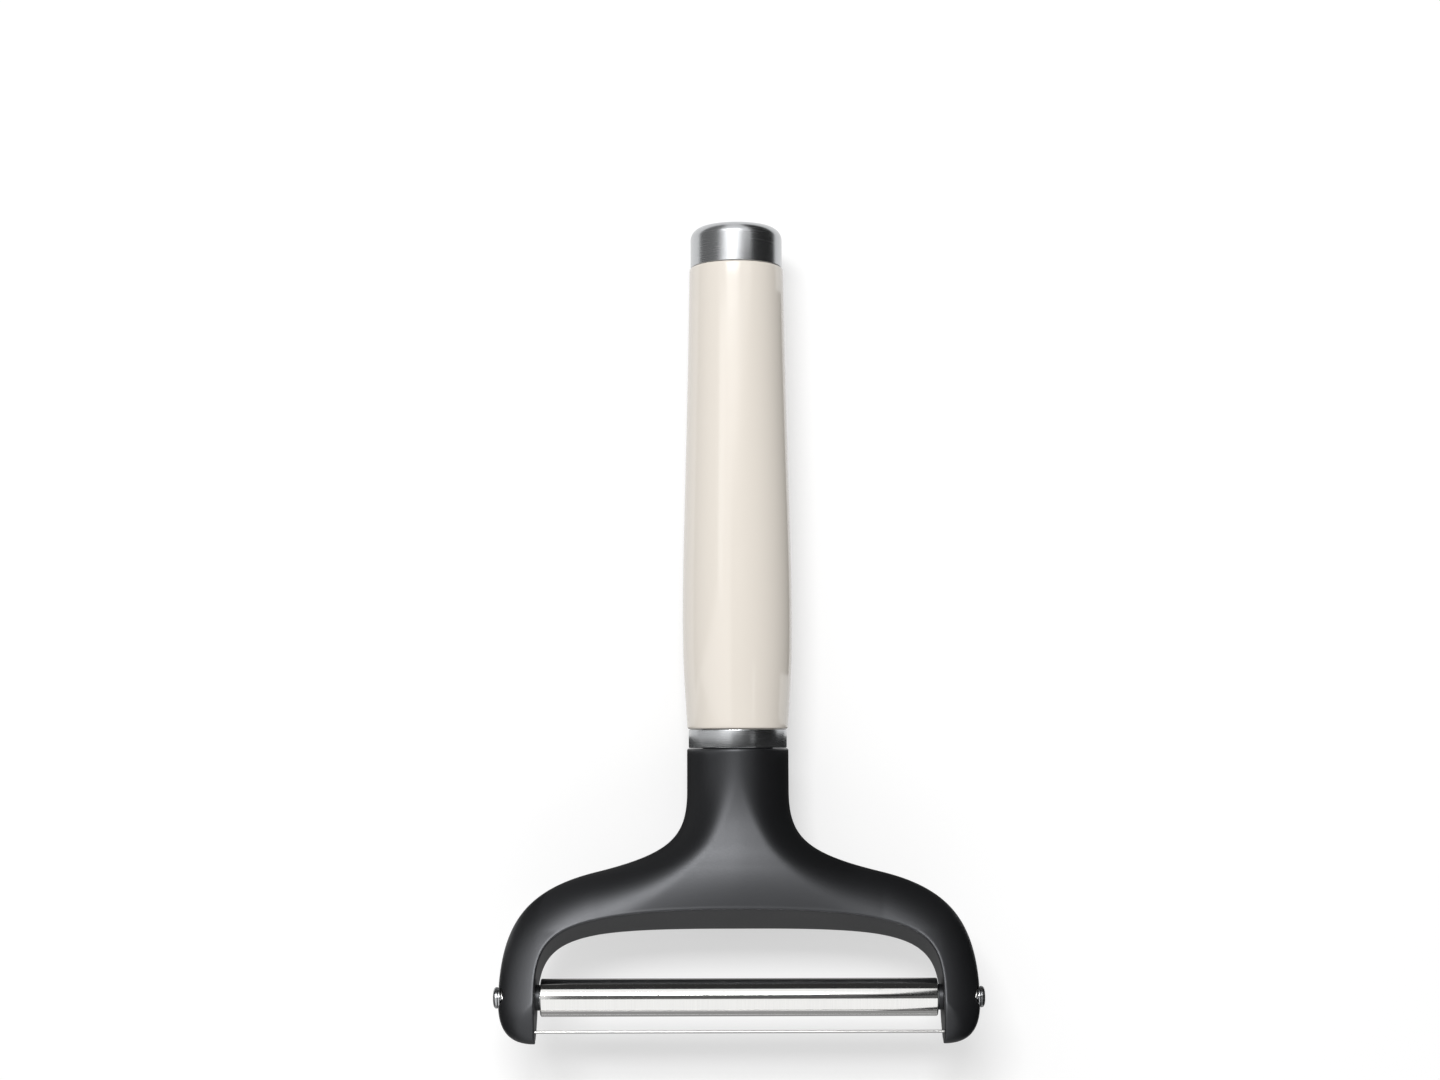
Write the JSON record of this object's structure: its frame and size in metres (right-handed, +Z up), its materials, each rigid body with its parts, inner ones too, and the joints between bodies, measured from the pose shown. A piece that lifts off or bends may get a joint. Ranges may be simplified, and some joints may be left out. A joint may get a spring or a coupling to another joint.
{
  "type": "roller wire cheese slicer",
  "caption": "Hand slicer for cheese: a round handle carries a black yoke that holds a free-turning gauge roller and a taut cutting wire between its arms.",
  "frame": {"origin": "middle of the flat heel under the yoke's neck, on the surface the slicer lies on", "axes": "+Y along the handle towards its end cap, +X across the yoke, +Z up from the surface"},
  "size_m": [0.1122, 0.1914, 0.034],
  "materials": {
    "black_nylon": "satin, finely textured",
    "cream_plastic": "gloss",
    "satin_steel": "satin",
    "polished_steel": "polished",
    "wire_steel": "drawn",
    "inner_plastic": "moulded"
  },
  "bodies": {
    "slicer": {"yoke": "black_nylon", "neck_collar": "satin_steel", "handle_sleeve": "cream_plastic", "sleeve_washer": "satin_steel", "sleeve_screw": "satin_steel", "cap_plug": "inner_plastic", "end_cap": "satin_steel", "cutting_wire": "wire_steel", "axle_rod": "satin_steel", "axle_screw_left": "satin_steel", "axle_screw_right": "satin_steel", "wire_washer_left": "satin_steel", "wire_washer_right": "satin_steel"},
    "roller": {"roller_tube": "polished_steel", "roller_bush_left": "black_nylon", "roller_bush_right": "black_nylon"}
  },
  "joints": [
    {"name": "roller_spin", "type": "hinge", "parent": "slicer", "child": "roller", "pos_m": [0, -0.04552, 0.02769], "axis": [1, 0, 0], "continuous": true}
  ]
}
